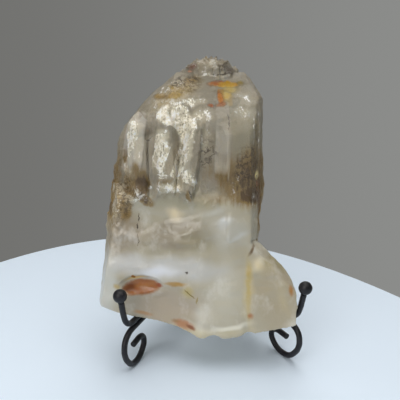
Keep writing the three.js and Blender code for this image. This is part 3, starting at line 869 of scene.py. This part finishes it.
def ballTip(name, place):    # a forged ball with a weld collar towards the post
    deselectAll()
    ahead, up = stand["ballPlace"]
    postAhead, postUp = supportPath(place.to_translation())[0]
    centre = place @ Vector((0, -ahead * mm, up * mm))
    towards = place.to_3x3() @ Vector((0, -(postAhead - ahead), postUp - up)).normalized()
    bpy.ops.mesh.primitive_uv_sphere_add(
        segments=stand["ballSegments"], ring_count=stand["ballRings"], radius=stand["ballRadius"] * mm,
        location=centre, rotation=towards.to_track_quat("Z", "Y").to_euler())
    ball = bpy.context.object
    ball.name = name
    bpy.ops.object.transform_apply(location=True, rotation=True, scale=True)
    widest = math.cos(math.radians(stand["collarAngle"]))
    selectFaces(ball, lambda face: face.normal.dot(towards) > widest)
    bpy.ops.mesh.inset(thickness=stand["collarInset"] * mm)
    bpy.ops.mesh.extrude_region_move(TRANSFORM_OT_translate={"value": towards * stand["collarRise"] * mm})
    bpy.ops.mesh.bevel(offset=stand["collarEdge"] * mm, segments=1, affect="EDGES")
    bpy.ops.object.mode_set(mode="OBJECT")
    smoothing = ball.modifiers.new("smooth", "SUBSURF")
    smoothing.levels = smoothing.render_levels = 1
    applyAll(ball)
    return ball


def crossbar(name, node):    # a bar between the two sides, with a weld bead at each end
    deselectAll()
    low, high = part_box(node)
    radius = (high.z - low.z) / 2
    bead = stand["beadLength"] * mm
    bpy.ops.mesh.primitive_cylinder_add(
        vertices=stand["barSegments"], radius=radius, depth=high.x - low.x - 2 * bead,
        location=(low + high) / 2, rotation=(0, math.radians(90), 0))
    bar = bpy.context.object
    bar.name = name
    bpy.ops.object.transform_apply(location=True, rotation=True, scale=True)
    grown = stand["beadGrowth"]
    beadSteps = ((0.3, grown), (0.4, 1.0), (0.3, 1 / grown))    # share of the bead's length, growth
    for side in (-1, 1):
        for share, growth in beadSteps:
            selectFaces(bar, lambda face: side * face.normal.x > 0.99)    # the flat end
            bpy.ops.mesh.extrude_region_move(TRANSFORM_OT_translate={"value": (side * share * bead, 0, 0)})
            bpy.ops.transform.resize(value=(1, growth, growth))
            bpy.ops.object.mode_set(mode="OBJECT")
    rounding = bar.modifiers.new("rounding", "BEVEL")
    rounding.width = stand["beadEdge"] * mm
    rounding.segments = 2
    applyAll(bar)
    return bar


ironLook = {    # sizes in metres
    "darkTone": (0.006, 0.006, 0.008, 1),
    "lightTone": (0.016, 0.015, 0.019, 1),
    "roughness": (0.34, 0.5),
    "specular": 0.32,
    "toneSize": 0.006,
    "roughSize": 0.004,
    "bumpSize": 0.0009,
    "bumpHeight": 0.0002,
    "bumpStrength": 0.25,
}


def makeIron():
    look = ironLook
    material, start = newMaterial("blackIron")
    place = start.node("ShaderNodeTexCoord", output="Object")
    shade = place.noise(look["toneSize"], 4).between(0.3, 0.7)
    colour = start.blend(shade, look["darkTone"], look["lightTone"])
    bump = start.node("ShaderNodeBump", {}, {
        "Strength": look["bumpStrength"], "Distance": look["bumpHeight"],
        "Height": place.noise(look["bumpSize"], 3)})
    rough = place.noise(look["roughSize"], 4).between(0.3, 0.7, *look["roughness"])
    shader = start.node("ShaderNodeBsdfPrincipled", {}, {
        "Base Color": colour, "Roughness": rough, "Specular IOR Level": look["specular"], "Normal": bump})
    toOutput(shader)
    return material


def makeStand():
    iron = makeIron()
    made = [("lower_crossbar", crossbar("lowerCrossbar", "lower_crossbar")),
            ("upper_crossbar", crossbar("upperCrossbar", "upper_crossbar"))]
    for side, name in ((-1, "left"), (1, "right")):
        place = sidePlace(side, name)
        support = supportPath(place.to_translation())
        made.append((name + "_leg_rod", roundRod(name + "LegRod", legPath(), place)))
        made.append((name + "_support_rod", roundRod(name + "SupportRod", support, place)))
        made.append((name + "_ball_tip", ballTip(name + "BallTip", place)))
    for node, piece in made:
        paint(piece, iron)
        settle(piece, node, stand["smoothAngle"])


makeStand()

studio = {    # in metres
    "tableReach": (0.22, 0.404),    # an oval table: half its width and half its depth
    "tableOffset": (-0.032, -0.215),    # from the crystal's origin
    "tableThickness": 0.02,
    "tableEdge": 0.002,
    "tableSmoothAngle": 40,
    "tableColour": (0.74, 0.85, 0.98, 1),
    "tableRoughness": 0.5,
    "wallLeft": (0.168, 0.168, 0.16, 1),
    "wallRight": (0.262, 0.266, 0.258, 1),
    "wallTurn": (-0.3, 0.5),    # how far to the left and to the right the wall's tone changes
    # each light: place, what it faces, width and height, watts
    "lights": {
        "ceiling": ((0.0, -0.2, 1.0), (0, -0.1, 0), (1.0, 0.9), 6.5),
        "window": ((-0.55, -0.75, 0.5), (0, -0.1, 0.05), (0.5, 0.6), 4.5),
        "rim": ((0.1, 0.6, 0.9), (0, 0, 0.03), (0.7, 0.5), 2.6),
    },
    "lightColour": (1.0, 0.98, 0.95),
}


def makeTable():
    deselectAll()
    across, along = studio["tableReach"]
    thickness = studio["tableThickness"]
    place = crystalOrigin + Vector((*studio["tableOffset"], -thickness / 2))
    bpy.ops.mesh.primitive_cylinder_add(vertices=160, radius=across, depth=thickness, location=place)
    bpy.ops.transform.resize(value=(1, along / across, 1))
    bpy.ops.object.transform_apply(location=True, rotation=True, scale=True)
    table = bpy.context.object
    table.name = "table"
    bevel = table.modifiers.new("edge", "BEVEL")
    bevel.width = studio["tableEdge"]
    bevel.segments = 3
    applyAll(table)
    bpy.ops.object.shade_smooth_by_angle(angle=math.radians(studio["tableSmoothAngle"]))
    material, start = newMaterial("tablePale")
    toOutput(start.node("ShaderNodeBsdfPrincipled", {}, {
        "Base Color": studio["tableColour"], "Roughness": studio["tableRoughness"]}))
    paint(table, material)


def makeLights():
    world = bpy.data.worlds.new("studio")
    bpy.context.scene.world = world
    world.use_nodes = True
    start = Socket(world.node_tree)    # the plain grey surroundings are a little lighter at the right
    direction = start.node("ShaderNodeTexCoord", output="Generated")
    across = start.node("ShaderNodeSeparateXYZ", {}, {"Vector": direction}, "X")
    wall = start.blend(across.between(*studio["wallTurn"]), studio["wallLeft"], studio["wallRight"])
    world.node_tree.links.new(wall.output, world.node_tree.nodes["Background"].inputs["Color"])
    for name, (place, aim, (width, tall), watts) in studio["lights"].items():
        data = bpy.data.lights.new(name, "AREA")
        data.shape = "RECTANGLE"
        data.size, data.size_y = width, tall
        data.energy = watts
        data.color = studio["lightColour"]
        lamp = bpy.data.objects.new(name, data)
        bpy.context.scene.collection.objects.link(lamp)
        lamp.location = place
        lamp.rotation_euler = (Vector(aim) - Vector(place)).to_track_quat("-Z", "Y").to_euler()


view = {
    "turn": -6,    # degrees about the crystal, and up
    "height": 15,
    "distance": 0.3,    # metres, as the next three
    "aimBehind": 0.005,    # from the crystal's origin
    "aimHeight": 0.08,
    "clipStart": 0.01,
    "lens": 51.93,    # millimetres, on a sensor of the usual 36
}


def makeCamera():
    turn, height = math.radians(view["turn"]), math.radians(view["height"])
    aim = Vector((crystalOrigin.x, crystalOrigin.y + view["aimBehind"], view["aimHeight"]))
    back = Vector((math.sin(turn) * math.cos(height), -math.cos(turn) * math.cos(height), math.sin(height)))
    data = bpy.data.cameras.new("camera")
    data.lens = view["lens"]
    data.clip_start = view["clipStart"]
    camera = bpy.data.objects.new("camera", data)
    bpy.context.scene.collection.objects.link(camera)
    camera.location = aim + back * view["distance"]
    camera.rotation_euler = (-back).to_track_quat("-Z", "Y").to_euler()
    bpy.context.scene.camera = camera
    bpy.context.scene.view_settings.view_transform = "Standard"    # the tones are picked for it


makeTable()
makeLights()
makeCamera()
print("studio: table, lights and camera are in place")
